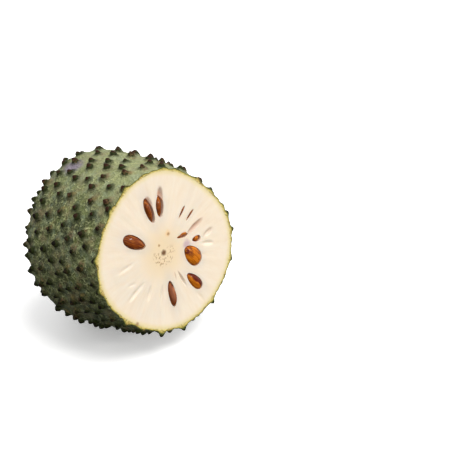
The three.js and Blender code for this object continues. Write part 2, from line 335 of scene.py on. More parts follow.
def take(piece):
    """Makes a piece the only selected one."""
    deselect()
    piece.select_set(True)
    bpy.context.view_layer.objects.active = piece


def named(name):
    """Names the primitive that was just added."""
    piece = bpy.context.object
    piece.name = piece.data.name = name
    return piece


def points_of(piece):
    """A piece's points, one to a row."""
    points = np.empty(len(piece.data.vertices) * 3)
    piece.data.vertices.foreach_get("co", points)
    return points.reshape(-1, 3)


def move_points(piece, points):
    """Puts a piece's points in new places."""
    piece.data.vertices.foreach_set("co", np.asarray(points, float).ravel())
    piece.data.update()


def note(piece, name, values):
    """Keeps one value for each point of a piece, for its material to read."""
    kept = piece.data.attributes.get(name) or piece.data.attributes.new(name, "FLOAT", "POINT")
    kept.data.foreach_set("value", np.broadcast_to(values, len(piece.data.vertices)).astype(np.float32))


def pick(piece, kind, mask):
    """Selects points or faces (VERT or FACE) by a mask, and leaves the piece in edit mode."""
    take(piece)
    bpy.ops.object.mode_set(mode="EDIT")
    bpy.ops.mesh.select_mode(type=kind)
    bpy.ops.mesh.select_all(action="DESELECT")
    bpy.ops.object.mode_set(mode="OBJECT")
    chosen = piece.data.vertices if kind == "VERT" else piece.data.polygons
    chosen.foreach_set("select", mask)
    bpy.ops.object.mode_set(mode="EDIT")


def selected_points(piece):
    """A mask of the points that are selected in edit mode. Leaves edit mode."""
    bpy.ops.object.mode_set(mode="OBJECT")
    mask = np.empty(len(piece.data.vertices), bool)
    piece.data.vertices.foreach_get("select", mask)
    return mask


@contextmanager
def editing(piece):
    """Edit mode with all of a piece selected."""
    take(piece)
    bpy.ops.object.mode_set(mode="EDIT")
    bpy.ops.mesh.select_all(action="SELECT")
    yield
    bpy.ops.object.mode_set(mode="OBJECT")


def merge_doubles(piece):
    """Joins points that lie on each other and turns the faces outwards."""
    with editing(piece):
        bpy.ops.mesh.remove_doubles(threshold=1e-4)
        bpy.ops.mesh.normals_make_consistent(inside=False)


def cut_off(piece, at, outward):
    """Cuts away what lies beyond a plane and closes the piece there."""
    with editing(piece):
        bpy.ops.mesh.bisect(plane_co=at, plane_no=outward, use_fill=True, clear_outer=True, threshold=1e-5)


def finish_piece(piece, material, replaced, smooth=60.0):
    """Stands a piece where it belongs, in metres, and hands it to the frame in place of its nodes."""
    piece.data.transform(PART_FROM_FRUIT)
    points = points_of(piece)
    points[:, 2] = np.maximum(points[:, 2], 0)
    move_points(piece, points)
    take(piece)
    bpy.ops.object.shade_smooth_by_angle(angle=math.radians(smooth))
    piece.data.materials.clear()
    piece.data.materials.append(material)
    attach(piece, "root")
    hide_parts(*replaced)


def wobble(points, size, seed=0.0):
    """Smooth noise vectors for points, with features of about one size. Blender's own starting point for them
    comes from the clock, so it is set here, and each run gives the same shapes."""
    noise.seed_set(NOISE_SEED)
    shift = Vector((seed, 1.7 * seed, -seed))
    return np.array([noise.noise_vector(Vector(p) / size + shift) for p in points])


def ripple(points, size, seed=0.0):
    """Smooth noise values for points."""
    shift = Vector((seed, 1.7 * seed, -seed))
    return np.array([noise.noise(Vector(p) / size + shift) for p in points])


# --- Materials --------------------------------------------------------------------------------------------


def maths_operator(operation, reflected=False):
    """An operator for Wire, which adds the Math node that does it."""

    def add_node(wire, other):
        first, second = (other, wire) if reflected else (wire, other)
        return wire.maths(operation, first, second)

    return add_node


class Wire:
    """A socket's value in a shader formula. Each operator adds the Math node that works it out."""

    __add__ = maths_operator("ADD")
    __radd__ = maths_operator("ADD", reflected=True)
    __sub__ = maths_operator("SUBTRACT")
    __rsub__ = maths_operator("SUBTRACT", reflected=True)
    __mul__ = maths_operator("MULTIPLY")
    __rmul__ = maths_operator("MULTIPLY", reflected=True)
    __truediv__ = maths_operator("DIVIDE")
    __rtruediv__ = maths_operator("DIVIDE", reflected=True)
    __pow__ = maths_operator("POWER")
    __rpow__ = maths_operator("POWER", reflected=True)

    def __init__(self, finish, socket):
        self.finish = finish
        self.socket = socket

    def maths(self, operation, *values):
        return self.finish.node("ShaderNodeMath", {"operation": operation}, dict(enumerate(values)))

    def cosine(self):
        return self.maths("COSINE", self)


class Finish:
    """One material, or the sky, built node by node."""

    def __init__(self, name, kept_in=None, output="Object"):
        self.made = (bpy.data.materials if kept_in is None else kept_in).new(name)
        self.made.use_nodes = True
        self.tree = self.made.node_tree
        self.tree.nodes.clear()
        self.place = self.node("ShaderNodeTexCoord", output=output)

    def node(self, kind, settings=None, sockets=None, output=0):
        """Adds a node, sets its settings, then its sockets' values or links, and returns an output."""
        made = self.tree.nodes.new(kind)
        for name, value in (settings or {}).items():
            if name == "stops":
                self._set_stops(made.color_ramp, value)
            else:
                setattr(made, name, value)
        for key, value in (sockets or {}).items():
            if isinstance(value, Wire):
                self.tree.links.new(value.socket, made.inputs[key])
            else:
                made.inputs[key].default_value = value
        return Wire(self, made.outputs[output]) if made.outputs else made

    @staticmethod
    def _set_stops(ramp, stops):
        while len(ramp.elements) < len(stops):
            ramp.elements.new(1.0)
        for element, (position, colour) in zip(ramp.elements, stops):
            element.position = position
            element.color = (*colour, 1)

    def split(self, vector):
        """A vector's three parts."""
        parts = self.node("ShaderNodeSeparateXYZ", {}, {"Vector": vector})
        return [Wire(self, part) for part in parts.socket.node.outputs]

    def spot(self, centre, size):
        """1 in the middle of a ball about a point of the part, in millimetres, and 0 outside it."""
        ends = {0: self.place, 1: Vector(centre) * MM}
        away = self.node("ShaderNodeVectorMath", {"operation": "DISTANCE"}, ends, 1) / MM
        return self.ramp(away + 0.7 * size * (self.noise(0.7 * size, 3) - 0.5), size, 0.25 * size)

    def attribute(self, name):
        return self.node("ShaderNodeAttribute", {"attribute_name": name}, output="Fac")

    def noise(self, size, detail=2.0, roughness=0.5, vector=None):
        """Noise from 0 to 1 with features of about that many millimetres."""
        sockets = {
            "Vector": vector or self.place,
            "Scale": 1 / (size * MM),
            "Detail": detail,
            "Roughness": roughness,
        }
        return self.node("ShaderNodeTexNoise", {}, sockets)

    def cells(self, size, feature="F1", warp=0.0):
        """How far a place is from a cell's middle or edge, with cells of that many millimetres."""
        place = self.place
        if warp:
            scale = {"Vector": place, "Scale": 1 / (size * MM), "Detail": 1.0}
            swirl = self.node("ShaderNodeTexNoise", {}, scale, "Color")
            shift = {0: swirl, 1: (warp * MM,) * 3, 2: place}
            place = self.node("ShaderNodeVectorMath", {"operation": "MULTIPLY_ADD"}, shift)
        sockets = {"Vector": place, "Scale": 1 / (size * MM)}
        return self.node("ShaderNodeTexVoronoi", {"feature": feature}, sockets, "Distance")

    def ramp(self, value, low, high, start=0.0, end=1.0):
        """Runs a value smoothly from start to end as it goes from low to high."""
        settings = {"interpolation_type": "SMOOTHSTEP"}
        return self.node("ShaderNodeMapRange", settings, {0: value, 1: low, 2: high, 3: start, 4: end})

    def by_height(self, low, high, wander, size, end=1.0):
        """Runs from 0 to end between two heights over the table, in millimetres, with a wandering edge."""
        up = self.split(self.place)[2] + wander * MM * (self.noise(size, 1) - 0.5)
        return self.ramp(up, low * MM, high * MM, 0, end)

    def colours(self, value, *stops):
        return self.node("ShaderNodeValToRGB", {"stops": stops}, {"Fac": value}, "Color")

    def mix(self, share, first, second):
        """Goes from the first colour to the second as the share goes from 0 to 1."""
        first, second = (c if isinstance(c, Wire) else (*c, 1) for c in (first, second))
        return self.node("ShaderNodeMix", {"data_type": "RGBA"}, {0: share, 6: first, 7: second}, 2)

    def layers(self, colour, *layers):
        """Lays colours over a first one, each with the share of it that shows."""
        for share, over in layers:
            colour = self.mix(share, colour, over)
        return colour

    def bump(self, height, distance, strength=1.0):
        sockets = {"Height": height, "Distance": distance * MM, "Strength": strength}
        return self.node("ShaderNodeBump", {}, sockets)

    def close(self, colour, roughness, normal=None, **constants):
        """Ends the material with its surface shader."""
        sockets = {"Base Color": colour, "Roughness": roughness}
        if normal:
            sockets["Normal"] = normal
        for name, value in constants.items():
            sockets[name.replace("_", " ")] = value
        surface = self.node("ShaderNodeBsdfPrincipled", {}, sockets)
        self.node("ShaderNodeOutputMaterial", {}, {"Surface": surface})
        return self.made


def place_on_face(x, z):
    """A place on the cut face, in the part's millimetres."""
    return PART_FROM_FRUIT @ Vector((x, 0, z)) / MM


def marked(finish, colour):
    """A colour with the marks of the cut face over it."""
    marks = (
        (share * finish.spot(place_on_face(x, z), size), paint(*mark)) for x, z, size, share, mark in MARKS
    )
    return finish.layers(colour, *marks)


def skin_finish(settings):
    """Sage-green skin, paler on the ridges and darker about the spines, and the rind's pale cut edge. Its
    colour holds painted light: paler towards the top, darker towards the bottom, cool sheen patches, glints
    in the pale net, shade about the spines and light on the upper side of some spines.
    """
    f = Finish("soursop_skin")
    spine = f.attribute("spine_distance")
    ridge = f.attribute("ridge")
    depth = f.attribute("rim_depth")
    patches = f.noise(17, 3)
    grain = f.noise(1.9, 3, 0.7)
    speck = f.noise(0.7, 2, 0.6)
    wave = 2.4 * spine + 26 * f.noise(9, 2)
    lines = f.ramp(wave.cosine(), 0.35, 0.98) * f.ramp(f.noise(6, 2), 0.42, 0.6)
    net = f.ramp(f.cells(4.2, "DISTANCE_TO_EDGE", 1.6), 0.2, 0.03) * f.ramp(f.noise(5, 2), 0.4, 0.58)
    wear_and_glint = f.ramp(grain, 0.36, 0.66)
    # Painted light: top is the share of the skin, high on the fruit, that is painted paler where the key
    # light falls.
    top = f.by_height(102, 134, 20, 15)
    brown = f.mix(f.ramp(f.noise(20, 1), 0.42, 0.6), paint(124, 108, 60), paint(132, 104, 78))
    skin = f.layers(
        settings.skin_deep,
        (f.ramp(patches, 0.3, 0.6), settings.skin),
        # Partly painted highlight: the pale lines, net and specks on the ridges and crinkles are the skin's
        # pale net together with the glints on it.
        ((0.2 * ridge + 0.75 * lines + 0.48 * net) * (0.25 + 0.75 * wear_and_glint), settings.skin_pale),
        (f.ramp(speck, 0.5, 0.66, 0, 0.5) * wear_and_glint, settings.skin_pale),
        (f.ramp(grain, 0.48, 0.28, 0, 0.8), settings.skin_deep),
        # Painted sheen: cool grey-green patches, stronger towards the top.
        (f.ramp(f.noise(7, 3, 0.6), 0.48, 0.64) * (0.3 + 0.3 * top), paint(126, 142, 124)),
        (f.ramp(f.noise(11, 4, 0.6), 0.5, 0.66, 0, 0.5), paint(132, 118, 88)),
        (f.ramp(f.noise(5, 3), 0.52, 0.7, 0, 0.18), paint(138, 142, 62)),
        # Painted shade: the skin is painted darker towards the bottom.
        (f.by_height(80, 10, 30, 20, 0.4), settings.skin_deep),
        # Painted light: pale skin laid over the top.
        (top * 0.46, settings.skin_pale),
        (f.spot(LILAC_SKIN, 11) * 0.7, paint(134, 118, 148)),
        (f.spot(SCUFFED_SKIN, 10) * 0.4, paint(88, 68, 56)),
        # Partly painted shade: dark olive round each spine's foot, the areole's own colour together with the
        # shade of its mound.
        (f.ramp(spine + 2.2 * (f.noise(3, 3) - 0.5), 5.2, 2.0, 0, 0.85), paint(36, 42, 13)),
        # Partly painted light: pink-brown on the upper, lit side of some spines, with their scab colour.
        (0.8 * f.attribute("blush") * f.ramp(f.noise(2.6, 3, 0.6), 0.34, 0.6), brown),
    )
    cut = f.colours(
        depth / RIND,
        (0.0, paint(44, 52, 20)),
        (0.2, paint(92, 96, 34)),
        (0.4, paint(176, 160, 78)),
        (0.7, paint(202, 185, 112)),
        (1.0, paint(218, 202, 148)),
    )
    cut = f.mix(f.ramp(f.noise(6, 3), 0.56, 0.7, 0, 0.5), cut, paint(170, 136, 74))
    colour = f.mix(f.ramp(depth, 0.02, 0.12), skin, marked(f, cut))
    pores = f.cells(1.3)
    relief = 0.7 * f.noise(2.4, 4, 0.65) + 0.25 * pores + 0.45 * lines + 0.35 * net
    normal = f.bump(relief, 1.3, 1.0)
    roughness = f.ramp(grain + 0.2 * patches, 0.3, 0.9, 0.4, 0.62)
    return f.close(colour, roughness, normal, Specular_IOR_Level=0.22)


def spine_finish(settings):
    """Spines that rise green and end nearly black, and are red-brown higher up the fruit."""
    f = Finish("soursop_spine")
    height = f.attribute("height")
    tone = f.attribute("tone")
    level = height + 0.28 * (f.noise(2.5, 2) - 0.5) + 0.16 * (tone - 0.5)
    colour = f.colours(
        level,
        (0.3, settings.skin_deep),
        (0.52, settings.spine_base),
        (0.68, settings.spine),
        (1.0, paint(14, 9, 4)),
    )
    colour = f.layers(
        colour,
        (f.by_height(90, 122, 30, 16, 0.6) * f.ramp(level, 0.4, 0.62), paint(58, 32, 18)),
        (f.ramp(tone, 0.6, 0.9, 0, 0.5) * f.ramp(f.noise(1.6, 2), 0.48, 0.62), paint(106, 82, 54)),
    )
    normal = f.bump(f.noise(1.1, 3), 0.5, 0.6)
    return f.close(colour, f.ramp(level, 0, 1, 0.6, 0.5), normal, Specular_IOR_Level=0.08)


def round_core(f, radius, across, turns, length, **sockets):
    """Noise that runs out from the core: finer with more turns, longer with a smaller length."""
    vector = {0: across[0] * turns, 1: across[1] * turns, 2: radius * length}
    sockets["Vector"] = f.node("ShaderNodeCombineXYZ", {}, vector)
    return f.node("ShaderNodeTexNoise", {}, sockets)


def flesh_finish(settings):
    """Cream flesh with radial fibres: warm round the core, wet and painted shaded about the seeds, yellow
    under the rind, and with a painted glow deep in the slits and seed beds.
    """
    f = Finish("soursop_flesh")
    on_axes = f.node("ShaderNodeMapping", {}, {"Vector": f.place, "Location": -(MM * FACE_CENTRE)})
    level = f.node("ShaderNodeMapping", {}, {"Vector": on_axes, "Rotation": (LEAN, 0, 0)})
    x, _, z = f.split(level)
    x = x / MM - CORE_X
    z = z / MM - CORE_Z
    radius = (x * x + z * z) ** 0.5
    across = [value / (radius + 0.01) for value in (x, z)]
    fibres = round_core(f, radius, across, 9, 0.035, Scale=1.6, Detail=4.0, Roughness=0.6)
    carpels = round_core(f, radius, across, 2.6, 0.03, Scale=1.9, Detail=1.0)
    clear = f.ramp(radius, 15, 32, 0, 0.55)
    lower_left = f.ramp(x + 0.9 * z, -2, -34)
    segments = f.ramp(radius, 15, 24) * f.ramp(radius, 51, 42)
    ring = f.ramp(radius, 3.0, 4.6) * f.ramp(radius, 11.0, 7.5)
    halo = f.attribute("halo")
    depth = f.attribute("skin_depth")
    cream = f.layers(
        settings.flesh,
        (f.ramp(radius, 26, 6), settings.flesh_core),
        (f.ramp(fibres, 0.42, 0.68, 0, 0.75) * clear, paint(230, 220, 203)),
        (f.ramp(fibres, 0.46, 0.26, 0, 0.5) * clear, paint(214, 194, 164)),
        (f.ramp(carpels, 0.4, 0.62, 0, 0.16) * segments * (0.12 + 0.88 * lower_left), paint(206, 203, 196)),
        # Partly painted shade: grey about each seed, for the wet clear flesh there and the shade by the seed.
        (halo * 0.32, settings.flesh_wet_and_shade),
        (f.attribute("stain"), paint(158, 102, 72)),
        (f.ramp(f.noise(1.4, 1), 0.51, 0.6, 0, 0.6) * ring * f.ramp(z, 5, -2), paint(134, 92, 54)),
        (f.ramp(radius + 1.6 * (f.noise(1.2, 2) - 0.5), 3.0, 0.9), paint(112, 78, 46)),
        (f.ramp(depth + 1.6 * (f.noise(7, 2) - 0.5), 6.2, 1.4), paint(218, 201, 147)),
    )
    height = 0.6 * fibres * clear + 0.25 * f.noise(2.0, 3)
    normal = f.bump(height, 0.5, 0.28)
    roughness = f.ramp(fibres + 0.2 * halo, 0.3, 0.8, 0.5, 0.3)
    return f.close(
        marked(f, cream),
        roughness,
        normal,
        # Painted glow: the emission lifts and warms the shade in deep slits and seed beds.
        Emission_Color=f.mix(f.attribute("glow"), paint(0, 0, 0), paint(158, 88, 46)),
        Emission_Strength=0.8,
        Subsurface_Weight=0.35,
        Subsurface_Radius=(1.0, 0.75, 0.5),
        Subsurface_Scale=0.002,
        Specular_IOR_Level=0.4,
    )


def seed_finish(settings):
    """Glossy seed coats from dark red-brown to amber, darkest at the margin, which is partly the coat's dark
    rim and partly painted shade where the coat turns away.
    """
    f = Finish("soursop_seed")
    edge = f.attribute("edge")
    tone = f.attribute("tone")
    along = f.attribute("along")
    across = f.attribute("across")
    # Partly painted shade: darker towards the margin, where the coat turns away from the face, as well as the
    # coat's own dark rim.
    dark = f.mix(f.ramp(edge, 0.6, 1.0, 0, 0.6), settings.seed, paint(86, 38, 12))
    amber = f.mix(f.ramp(edge, 0.7, 1.0, 0, 0.7), settings.seed_amber, paint(180, 102, 22))
    grain = f.node("ShaderNodeCombineXYZ", {}, {0: across * 0.006, 1: along * 0.0012, 2: tone})
    streaks = f.noise(1, 3, 0.6, grain)
    dark_side = f.ramp(0.5 * (f.noise(3, 2) - 0.5) - across, -0.05, 0.2) * f.attribute("dark_side")
    torn = f.spot(place_on_face(TORN_COAT_X, TORN_COAT_Z), 5.4) * f.ramp(f.noise(1.6, 2), 0.4, 0.5)
    coat = f.layers(
        dark,
        (f.ramp(tone, 0.1, 0.95), amber),
        (f.ramp(streaks, 0.44, 0.62, 0, 0.62), paint(78, 28, 10)),
        (f.ramp(streaks, 0.5, 0.3, 0, 0.32), paint(208, 134, 58)),
        (f.attribute("dusty") * f.ramp(edge, 0.9, 0.3), paint(164, 108, 84)),
        (dark_side, paint(88, 26, 12)),
        (torn, paint(84, 22, 18)),
        (f.ramp(along, -0.86, -0.97) * f.ramp(tone, 0.18, 0.13), paint(214, 196, 168)),
    )
    normal = f.bump(f.noise(2.6, 3), 0.4, 0.35)
    return f.close(coat, 0.18, normal, Specular_IOR_Level=0.16)


def stalk_finish(settings):
    """Dry brown bark, with a paler end where the stalk was cut."""
    f = Finish("soursop_stalk")
    end = f.attribute("cut_end")
    bark = f.mix(f.ramp(f.noise(1.8, 4, 0.6), 0.35, 0.65), settings.stalk, paint(118, 98, 70))
    colour = f.mix(end, bark, f.mix(f.noise(1.2, 3), paint(176, 148, 104), paint(120, 92, 60)))
    normal = f.bump(f.noise(1.2, 4), 0.5, 0.7)
    return f.close(colour, 0.85, normal)


# --- Sizes and colours ------------------------------------------------------------------------------------


def length_property(name, description, millimetres):
    return FloatProperty(name=name, description=description, default=millimetres * MM, min=0, unit="LENGTH")


def count_property(name, description, default, least):
    return IntProperty(name=name, description=description, default=default, min=least)


def angle_property(name, description, degrees):
    return FloatProperty(name=name, description=description, default=math.radians(degrees), subtype="ANGLE")


def number_property(name, description, default, least=0, unit="NONE"):
    return FloatProperty(name=name, description=description, default=default, min=least, unit=unit)


def colour_property(name, description, default):
    return FloatVectorProperty(
        name=name, description=description, default=default, subtype="COLOR", size=3, min=0, max=1
    )


class SoursopRindSettings(bpy.types.PropertyGroup):
    hump: length_property("Hump", "How far the skin rises to a spine", 2.4)
    valley: length_property("Valley", "How far the skin sinks between spines", 0.8)
    ridge: length_property("Ridge", "Height of the ridges from spine to spine", 0.55)
    ridge_width: length_property("Ridge width", "Half width of a ridge", 1.5)
    sides: count_property("Sides", "Points round the skin", 440, 24)
    rings: count_property("Rings", "Rings from the cut to the stalk end", 170, 12)
    spine: colour_property("Spine", "Upper part of a spine", paint(16, 11, 4))
    spine_base: colour_property("Spine base", "Foot of a spine", paint(40, 43, 14))
    skin: colour_property("Skin", "Skin between the spines", paint(80, 90, 44))
    skin_deep: colour_property("Deep skin", "Skin in the hollows", paint(38, 45, 17))
    skin_pale: colour_property("Pale skin", "Skin on the ridges", paint(182, 187, 136))
    stalk: colour_property("Stalk", "Bark of the stalk's stub", paint(74, 58, 40))


class SoursopSpineSettings(bpy.types.PropertyGroup):
    length: length_property("Length", "Spine above its hump", 1.2)
    foot: length_property("Foot", "Radius of a spine's foot", 2.4)
    root: length_property("Root", "How deep a spine is set in the skin", 1.3)
    hook: length_property("Hook", "How far a tip leans to the stalk", 1.0)
    sides: count_property("Sides", "Sides of a spine", 8, 3)


class SoursopFleshSettings(bpy.types.PropertyGroup):
    sides: count_property("Sides", "Points round the cut face", 380, 24)
    rings: count_property("Rings", "Rings from the core to the rind", 92, 12)
    back_rings: count_property("Back rings", "Rings over the hidden side", 16, 4)
    pulp: length_property("Pulp", "Unevenness of the cut face", 0.16)
    flesh: colour_property("Flesh", "Flesh away from the core", paint(225, 210, 188))
    flesh_core: colour_property("Core", "Flesh about the core", paint(223, 202, 167))
    flesh_wet_and_shade: colour_property("Wet flesh", "Clear flesh about a seed", paint(196, 190, 184))
    seed: colour_property("Seed", "Dark seed coat", paint(120, 55, 14))
    seed_amber: colour_property("Amber seed", "Light seed coat", paint(188, 104, 6))


class SoursopStageSettings(bpy.types.PropertyGroup):
    azimuth: angle_property("Azimuth", "Camera's turn about the fruit", -44.4)
    elevation: angle_property("Elevation", "Camera's height", 26.0)
    lens: number_property("Lens", "Focal length in millimetres", 85.0, 10)
    key: number_property("Key", "Strength of the overhead light", 2.2)
    fill: number_property("Fill", "Power of the front light", 4.4, unit="POWER")
    sky: number_property("Sky", "Strength of the soft light from above", 0.8)
    ground: number_property("Ground", "Strength of the soft light from below", 0.12)
    floor: colour_property("Floor", "Floor's colour", (0.94, 0.94, 0.94))


# --- Pieces -----------------------------------------------------------------------------------------------


def on_a_ridge(here, feet, nearest, width):
    """How much each point is on a ridge between two of the three spines that are nearest to it."""
    most = np.zeros(len(here))
    for one, two in ((0, 1), (0, 2), (1, 2)):
        a, b = feet[nearest[:, one]], feet[nearest[:, two]]
        share = np.clip(np.sum((here - a) * (b - a), 1) / np.sum((b - a) ** 2, 1), 0, 1)
        off = np.linalg.norm(here - a - share[:, None] * (b - a), axis=1)
        most = np.maximum(most, np.exp(-((off / width) ** 2)))
    return most


def in_a_crease(out, ways, distance, folds, twists):
    """The creases that run out from a spine's foot, from -1 to 1."""
    side = unit(np.cross(ways, [0.0, 1.0, 0.02]))
    up = np.cross(ways, side)
    around = np.arctan2(np.sum(out * up, 1), np.sum(out * side, 1))
    return np.sin(folds * around + twists) * np.exp(-(((distance - CREASE_AT) / CREASE_WIDTH) ** 2))


def skin_relief(points, sites, settings):
    """How far the skin stands out at each point, its distance from a spine, how much it is on a ridge, and
    its blush: pink-brown on the upper side of some spines, toward the key light, which is partly scab colour
    and partly painted light."""
    feet, ways, sizes, tones, twists = (
        np.array([site[key] for site in sites]) for key in ("foot", "normal", "size", "tone", "twist")
    )
    folds = 5 + np.round(3 * tones)
    blush_and_light_share = np.clip(3.2 * (tones - 0.4), 0, 1)
    upward = np.array(BLUSH_AND_LIGHT_WAY)
    blush_and_light_places = feet + BLUSH_AND_LIGHT_OFFSET * unit(upward - ways * (ways @ upward)[:, None])
    warp = 2.6 * wobble(points, 8.0) + 1.2 * wobble(points, 3.5, 2.0)
    height, near, ridge, blush = (np.empty(len(points)) for _ in range(4))
    for start in range(0, len(points), POINTS_AT_ONCE):
        part = slice(start, start + POINTS_AT_ONCE)
        here = points[part]
        distance = np.linalg.norm(here[:, None] - feet, axis=2)
        here = here + warp[part] * np.clip(distance.min(axis=1) / 4.5 - 0.2, 0, 1)[:, None]
        nearest = np.argsort(distance, axis=1)[:, :3]
        own = nearest[:, 0]
        near[part] = np.take_along_axis(distance, nearest, 1)[:, 0]
        ridge[part] = on_a_ridge(here, feet, nearest, mm(settings.ridge_width))
        creases = in_a_crease(here - feet[own], ways[own], near[part], folds[own], twists[own])
        swell = 0.5 + 0.5 * np.cos(np.pi * np.clip(near[part] / (0.5 * SPINE_SPACING), 0, 1))
        flare = np.clip(1 - near[part] / FLARE_RADIUS, 0, 1) ** 1.25
        height[part] = (
            -mm(settings.valley)
            + mm(settings.hump) * sizes[own] * (0.35 * swell + 0.65 * flare)
            + mm(settings.ridge) * ridge[part] * (1 - 0.6 * flare)
            + CREASE * creases
        )
        beside = np.linalg.norm(here - blush_and_light_places[own], axis=1) / BLUSH_AND_LIGHT_RADIUS
        blush[part] = blush_and_light_share[own] * np.exp(-(beside**2))
    wrinkles = 1 - 3 * np.abs(ripple(points * [1, 0.4, 1] + 0.5 * warp, WRINKLE_SIZE, 3.0))
    height += WRINKLE * np.clip(wrinkles, -0.6, 1) + RIPPLE * ripple(points, RIPPLE_SIZE, 9.0)
    return height, near, ridge, blush


def add_lathe(name, sides, rings):
    """A flat sheet to roll up, with each point's angle about the fruit and its share of the way along."""
    deselect()
    bpy.ops.mesh.primitive_grid_add(x_subdivisions=sides, y_subdivisions=rings, size=2)
    piece = named(name)
    flat = points_of(piece)
    return piece, math.pi * (flat[:, 0] + 1), (flat[:, 1] + 1) / 2


def ring_extrude(piece, place):
    """Extrudes the selected ring, and moves each new point to the place that its angle gives."""
    bpy.ops.mesh.extrude_region_move()
    chosen = selected_points(piece)
    points = points_of(piece)
    points[chosen] = place(np.arctan2(points[chosen, 2], points[chosen, 0]))
    move_points(piece, points)
    bpy.ops.object.mode_set(mode="EDIT")
    return np.flatnonzero(chosen)


def make_rind(settings, sites):
    """The skin: a sheet rolled round the fruit's wall, raised at the spines and turned in at the cut."""
    rind, angle, share = add_lathe("rind_skin", settings.sides, settings.rings)
    profile = LENGTH * np.sin(np.linspace(0, math.pi / 2, PROFILE_STEPS))
    run = np.concatenate([[0], np.cumsum(np.hypot(np.diff(profile), np.diff(round_radius(profile))))])
    y = np.interp(share * run[-1], run, profile)
    wall = wall_points(y, angle)
    height, near, ridge, blush = skin_relief(wall, sites, settings)
    points = wall + wall_normals(y, angle) * height[:, None]
    rim = share < 0.25 / settings.rings
    points[:, 1] = np.where(rim, 0, np.maximum(points[:, 1], BEHIND_CUT))
    move_points(rind, points)
    for look, values in (("spine_distance", near), ("ridge", ridge), ("blush", blush)):
        note(rind, look, values)

    order = np.argsort(angle[rim])
    rim_angles = angle[rim][order]
    rim_radii = np.hypot(points[rim, 0], points[rim, 2])[order]

    def rim_place(depth):
        def place(around):
            outer = np.interp(around, rim_angles, rim_radii, period=2 * math.pi)
            inner = round_radius(0, RIND) * section_shape(around, 0)
            radius = outer + (inner - outer) * depth / RIND
            return np.stack([radius * np.cos(around), 0 * around, radius * np.sin(around)], -1)

        return place

    back = LENGTH - RIND
    pick(rind, "VERT", rim)
    depths = {depth: ring_extrude(rind, rim_place(depth)) for depth in RIM_DEPTHS}
    for turn in np.linspace(0, math.pi / 2, LINING_RINGS + 2)[1:-1]:
        ring_extrude(rind, lambda around, behind=back * math.sin(turn): wall_points(behind, around, RIND))
    ring_extrude(rind, lambda around: np.broadcast_to([0, back, 0], (len(around), 3)))
    bpy.ops.object.mode_set(mode="OBJECT")
    rim_depth = np.zeros(len(rind.data.vertices))
    rim_depth[len(points):] = RIND
    for depth, ring in depths.items():
        rim_depth[ring] = depth
    note(rind, "rim_depth", rim_depth)
    merge_doubles(rind)
    return rind


def make_thorn(settings):
    """One spine: a disc pulled up in steps into a blunt thorn that hooks over towards +Y."""
    deselect()
    foot, length, root = mm(settings.foot), mm(settings.length), mm(settings.root)
    bpy.ops.mesh.primitive_circle_add(
        vertices=settings.sides, radius=foot, fill_type="NGON", location=(0, 0, -root)
    )
    thorn = named("thorn")
    bpy.ops.object.transform_apply(location=True)
    with editing(thorn):
        for level in THORN_LEVELS:
            bpy.ops.mesh.extrude_region_move()
            chosen = selected_points(thorn)
            points = points_of(thorn)
            width = 0.4 * (1 - level) + 0.6 * math.sqrt(1 - level**2)
            turn = np.arctan2(points[chosen, 1], points[chosen, 0])
            width *= 1 + 0.14 * (1 - level) * np.cos(0.5 * settings.sides * turn)
            points[chosen, 0] = foot * width * np.cos(turn)
            points[chosen, 1] = foot * width * np.sin(turn)
            points[chosen, 2] = level * (length + root) - root
            move_points(thorn, points)
            bpy.ops.object.mode_set(mode="EDIT")
        bpy.ops.mesh.extrude_region_move(TRANSFORM_OT_translate={"value": (0, 0, 0.06 * length)})
        bpy.ops.mesh.merge(type="CENTER")
        bpy.ops.mesh.select_all(action="SELECT")
        bpy.ops.mesh.normals_make_consistent(inside=False)
    points = points_of(thorn)
    height = np.clip((points[:, 2] + root) / (length + root), 0, 1)
    note(thorn, "height", height)
    points[:, 1] += mm(settings.hook) * height**2
    move_points(thorn, points)
    return thorn


def make_spines(settings, rind_settings, sites):
    """A copy of the thorn on every hump, each with its own size, lean and tone, cut where the fruit is."""
    thorn = make_thorn(settings)
    copies = []
    for site in sites:
        normal = Vector(site["normal"])
        across = Vector((0, 1, 0)).cross(normal).normalized()
        axes = Matrix((across, normal.cross(across), normal)).transposed().to_4x4()
        lean = Matrix.Rotation(0.5 * site["side"], 4, "Y") @ Matrix.Rotation(1.6 * site["side"], 4, "Z")
        size = site["size"]
        grow = Matrix.Diagonal((size, size, size * (0.86 + 0.28 * site["tone"]), 1))
        top = mm(rind_settings.hump * size - rind_settings.valley + 0.4 * rind_settings.ridge)
        stand = Matrix.Translation(Vector(site["foot"]) + normal * top)
        copy = thorn.copy()
        copy.data = thorn.data.copy()
        copy.data.transform(stand @ axes @ lean @ grow)
        bpy.context.scene.collection.objects.link(copy)
        note(copy, "tone", site["tone"])
        copies.append(copy)
    bpy.data.objects.remove(thorn)
    take(copies[0])
    for copy in copies:
        copy.select_set(True)
    bpy.ops.object.join()
    spines = named("rind_spines")
    cut_off(spines, (0, SPINE_CUT, 0), (0, -1, 0))
    table = PART_FROM_FRUIT.inverted()
    cut_off(spines, table @ Vector((0, 0, 0)), table.to_3x3() @ Vector((0, 0, -1)))
    return spines


def on_face(x, z, turn, depth=0.0, roll=0.0, dip=0.0):
    """Lays a shape that points along +Y and is flat to Z on the cut face, in the fruit's frame."""
    turned, rolled, dipped = (math.radians(value) for value in (turn - 90, roll, -dip))
    face = FRUIT_FROM_FACE @ Matrix.Translation((x, z, -depth)) @ Matrix.Rotation(turned, 4, "Z")
    return face @ Matrix.Rotation(dipped, 4, "X") @ Matrix.Rotation(rolled, 4, "Y")


